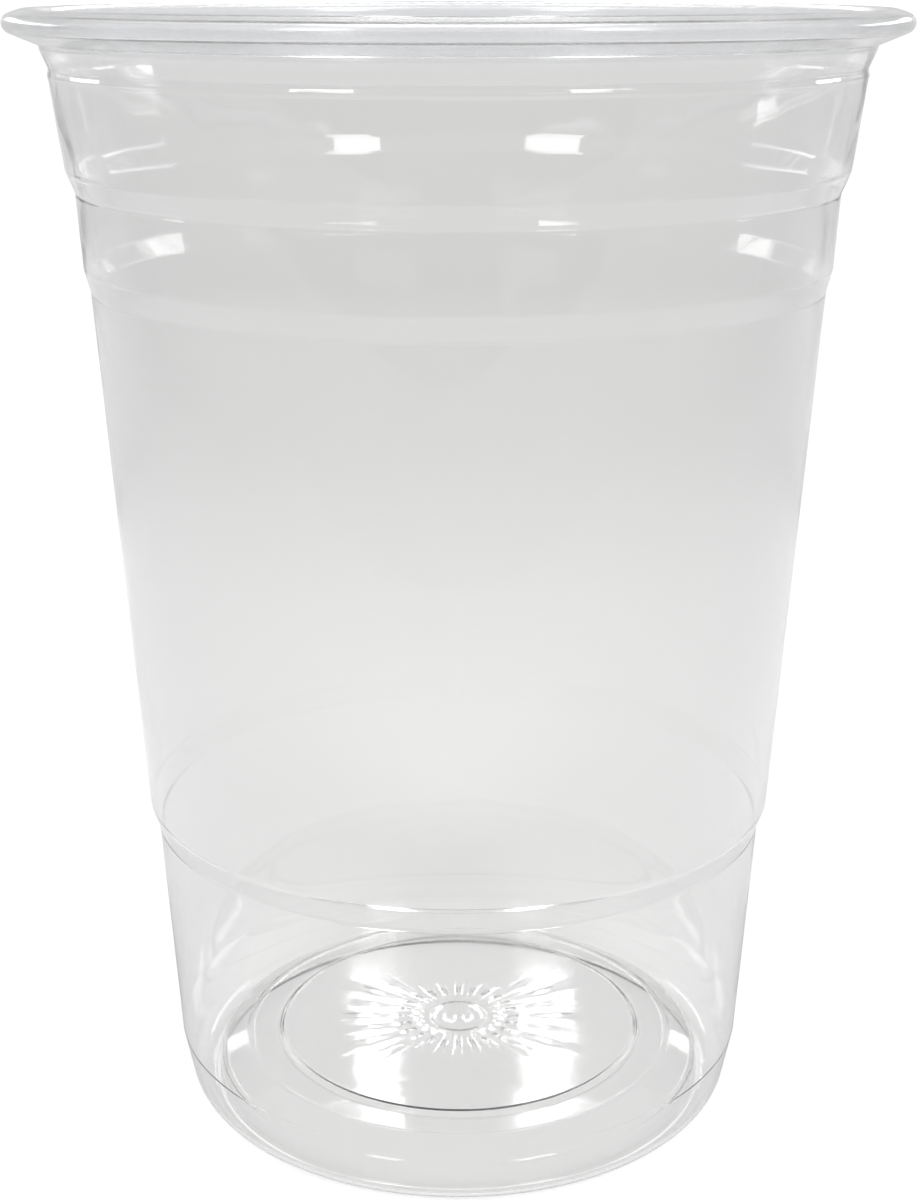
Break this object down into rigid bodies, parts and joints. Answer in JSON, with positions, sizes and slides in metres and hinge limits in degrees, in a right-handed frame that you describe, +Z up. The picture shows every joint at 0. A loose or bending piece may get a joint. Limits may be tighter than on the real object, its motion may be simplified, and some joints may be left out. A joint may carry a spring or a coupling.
{
  "type": "plastic disposable cup",
  "caption": "Clear thin-walled tapered cold-drink cup with a rolled rim, a drawn-in neck, soft shoulders and a base pushed up above its foot ring.",
  "frame": {"origin": "centre of the foot ring on the surface that the cup stands on", "axes": "+Z up along the cup's axis, from the foot to the rim; the cup is round, so X and Y are free"},
  "size_m": [0.095, 0.095, 0.1215],
  "materials": {
    "clear_plastic": "clear gloss"
  },
  "bodies": {
    "root": {"cup": "clear_plastic"}
  },
  "joints": []
}
